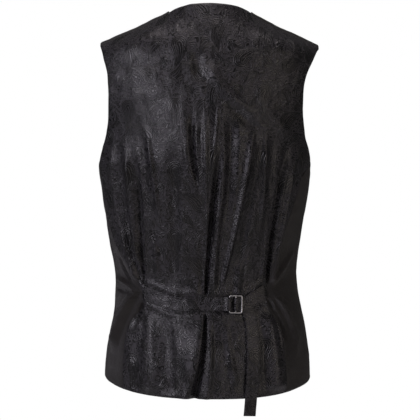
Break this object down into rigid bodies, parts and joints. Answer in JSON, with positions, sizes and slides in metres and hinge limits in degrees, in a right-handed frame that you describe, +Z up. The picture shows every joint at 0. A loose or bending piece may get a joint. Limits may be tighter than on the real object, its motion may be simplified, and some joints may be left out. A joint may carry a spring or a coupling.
{
  "type": "suit waistcoat",
  "caption": "Men's suit waistcoat worn with no wearer: plain wool fronts with a low V neck, paisley satin back, cinch belt and wire buckle.",
  "frame": {"origin": "between the shoulders, at the height of the shoulder seams, where the wearer's shoulders carry it", "axes": "+Z up, +Y to the back of the garment, +X to the wearer's left"},
  "size_m": [0.3439, 0.2431, 0.6364],
  "materials": {
    "satin": "black satin with a tone-on-tone woven paisley",
    "suiting": "matt fine wool suiting, black-brown",
    "buckle_metal": "bright nickel plate",
    "button": "black, slightly polished"
  },
  "bodies": {
    "root": {"back_left": "satin", "back_right": "satin", "front_left": "suiting", "front_right": "suiting", "strap_left": "satin", "strap_right": "satin", "buckle": "buckle_metal", "button_1": "button", "button_2": "button", "button_3": "button", "button_4": "button", "button_5": "button"}
  },
  "joints": []
}
